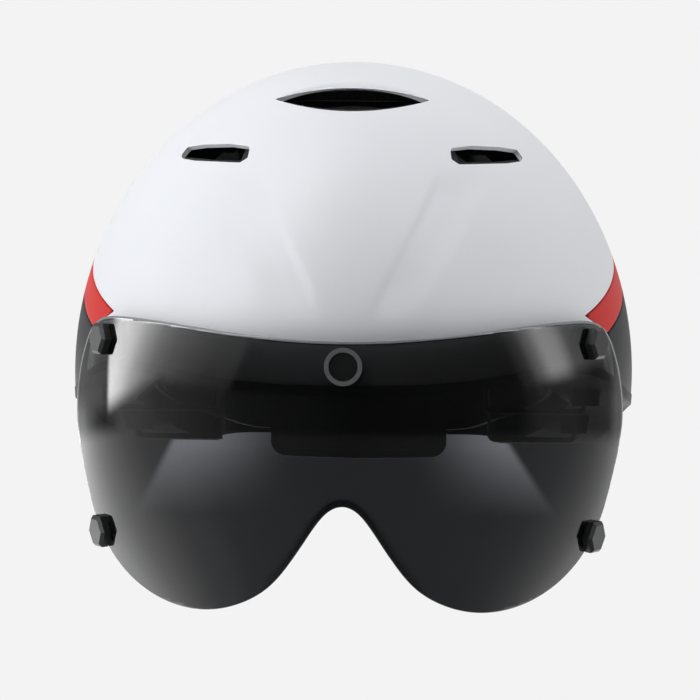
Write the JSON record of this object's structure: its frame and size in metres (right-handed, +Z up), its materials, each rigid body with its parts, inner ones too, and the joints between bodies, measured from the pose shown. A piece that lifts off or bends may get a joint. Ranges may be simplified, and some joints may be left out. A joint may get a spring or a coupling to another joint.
{
  "type": "aero time trial helmet",
  "caption": "Short tail aero cycling helmet with a vented two colour shell, smoked wraparound magnetic visor and dial adjusted head cradle.",
  "frame": {"origin": "middle of the head opening at the height of the headband, where the wearer's head carries the helmet", "axes": "+X to the viewer's right seen from the front, -Y forward out of the visor, +Z up through the crown"},
  "size_m": [0.212, 0.2901, 0.1934],
  "materials": {
    "cap_white": "satin gloss",
    "accent_red": "satin gloss",
    "rear_black": "satin",
    "trim_black": "matte",
    "foam_grey": "beaded foam",
    "smoke_lens": "polished",
    "moulded_black": "satin",
    "magnet_black": "satin",
    "ring_alloy": "satin",
    "steel": "brushed",
    "pad_cloth": "knitted",
    "hook_tape": "woven",
    "webbing": "woven",
    "cradle_plastic": "matte",
    "dial_rubber": "matte",
    "keeper_rubber": "matte"
  },
  "bodies": {
    "helmet": {"upper_shell": "cap_white", "accent_band": "accent_red", "rear_shell": "rear_black", "rim_trim": "trim_black", "foam_liner": "foam_grey", "brow_pad": "pad_cloth", "pad_hook_patches": "hook_tape", "brow_magnet_seat": "moulded_black", "brow_magnet": "magnet_black", "height_guide": "cradle_plastic", "height_guide_screws": "steel", "buckle_socket": "moulded_black", "buckle_plug": "moulded_black", "strap_keeper": "keeper_rubber", "side_pad_left": "pad_cloth", "crown_pad_left": "pad_cloth", "temple_seat_left": "moulded_black", "temple_keeper_left": "steel", "front_strap_anchor_left": "moulded_black", "rear_strap_anchor_left": "moulded_black", "front_strap_left": "webbing", "rear_strap_left": "webbing", "chin_strap_left": "webbing", "strap_divider_left": "moulded_black", "side_pad_right": "pad_cloth", "crown_pad_right": "pad_cloth", "temple_seat_right": "moulded_black", "temple_keeper_right": "steel", "front_strap_anchor_right": "moulded_black", "rear_strap_anchor_right": "moulded_black", "front_strap_right": "webbing", "rear_strap_right": "webbing", "chin_strap_right": "webbing", "strap_divider_right": "moulded_black"},
    "visor": {"visor_lens": "smoke_lens", "centre_magnet_cup": "ring_alloy", "centre_magnet": "magnet_black", "upper_stud_left": "moulded_black", "lower_stud_left": "moulded_black", "upper_stud_magnet_left": "magnet_black", "lower_stud_magnet_left": "magnet_black", "upper_stud_right": "moulded_black", "lower_stud_right": "moulded_black", "upper_stud_magnet_right": "magnet_black", "lower_stud_magnet_right": "magnet_black"},
    "cradle": {"head_cradle": "cradle_plastic", "dial_case": "cradle_plastic", "dial_case_screws": "steel", "cradle_pad_left": "pad_cloth", "cradle_pad_right": "pad_cloth"},
    "dial": {"dial_pinion": "cradle_plastic", "dial_knob": "dial_rubber", "dial_cap": "moulded_black", "dial_screw": "steel"},
    "arm_left": {"cradle_arm_left": "cradle_plastic", "temple_pad_left": "pad_cloth"},
    "arm_right": {"cradle_arm_right": "cradle_plastic", "temple_pad_right": "pad_cloth"}
  },
  "joints": [
    {"name": "visor_pull", "type": "slide", "parent": "helmet", "child": "visor", "axis": [0, -1, 0], "range_m": [0, 0.06]},
    {"name": "cradle_height", "type": "slide", "parent": "helmet", "child": "cradle", "axis": [0, 0.225, 0.9744], "range_m": [-0.008, 0.008]},
    {"name": "dial_turn", "type": "hinge", "parent": "cradle", "child": "dial", "pos_m": [0, 0.098, -0.026], "axis": [0, 0.9744, -0.225], "range_deg": [0, 127]},
    {"name": "arm_left_slide", "type": "slide", "parent": "cradle", "child": "arm_left", "axis": [1, 0, 0], "range_m": [0, 0.01]},
    {"name": "arm_right_slide", "type": "slide", "parent": "cradle", "child": "arm_right", "axis": [-1, 0, 0], "range_m": [0, 0.01]}
  ],
  "couplings": [
    {"joint": "arm_left_slide", "follows": "dial_turn", "m_per_rad": 0.0045},
    {"joint": "arm_right_slide", "follows": "dial_turn", "m_per_rad": 0.0045}
  ]
}
